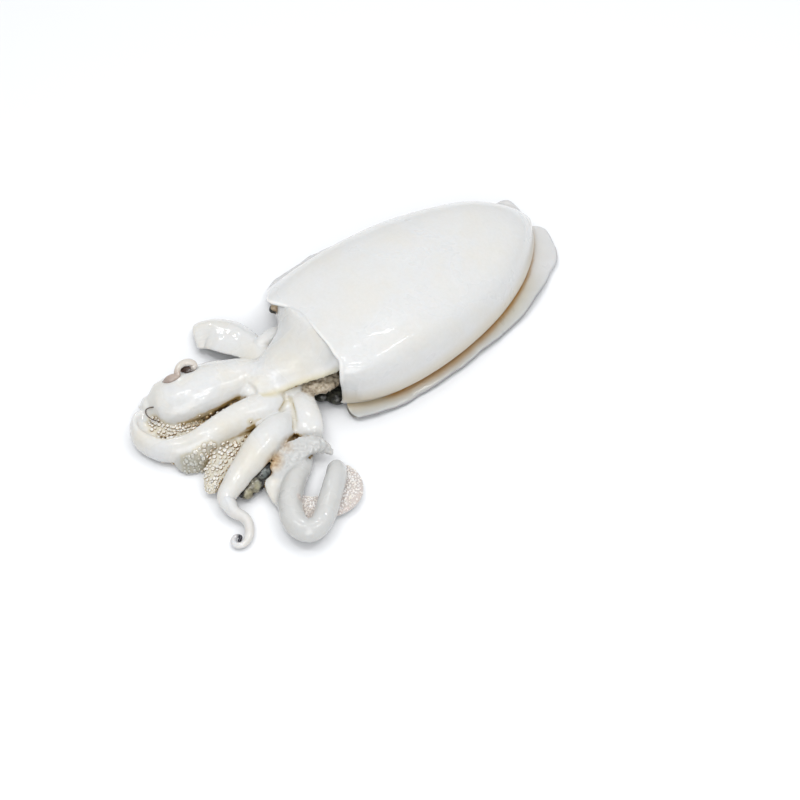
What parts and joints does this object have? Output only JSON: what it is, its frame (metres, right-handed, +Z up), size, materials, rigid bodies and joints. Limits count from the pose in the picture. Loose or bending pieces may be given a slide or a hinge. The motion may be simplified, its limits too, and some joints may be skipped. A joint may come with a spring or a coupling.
{
  "type": "cleaned cuttlefish",
  "caption": "Whole cleaned and skinned cuttlefish lying on its back: a plump white mantle with a thin fin frill, the funnel and head in its mouth, and loose sucker-bearing arms with curled tips",
  "frame": {"origin": "middle of the mantle's flat resting face, on the table", "axes": "+Y from the arms to the tail along the body, +Z up from the table, +X to the body's side where the tentacles lie"},
  "size_m": [0.1649, 0.2796, 0.0393],
  "materials": {
    "mantle_flesh": "wet, smooth, slightly translucent",
    "arm_flesh": "wet, smooth backs, pimpled sucker faces"
  },
  "bodies": {
    "root": {"mantle": "mantle_flesh", "head_with_arms": "arm_flesh"}
  },
  "joints": []
}
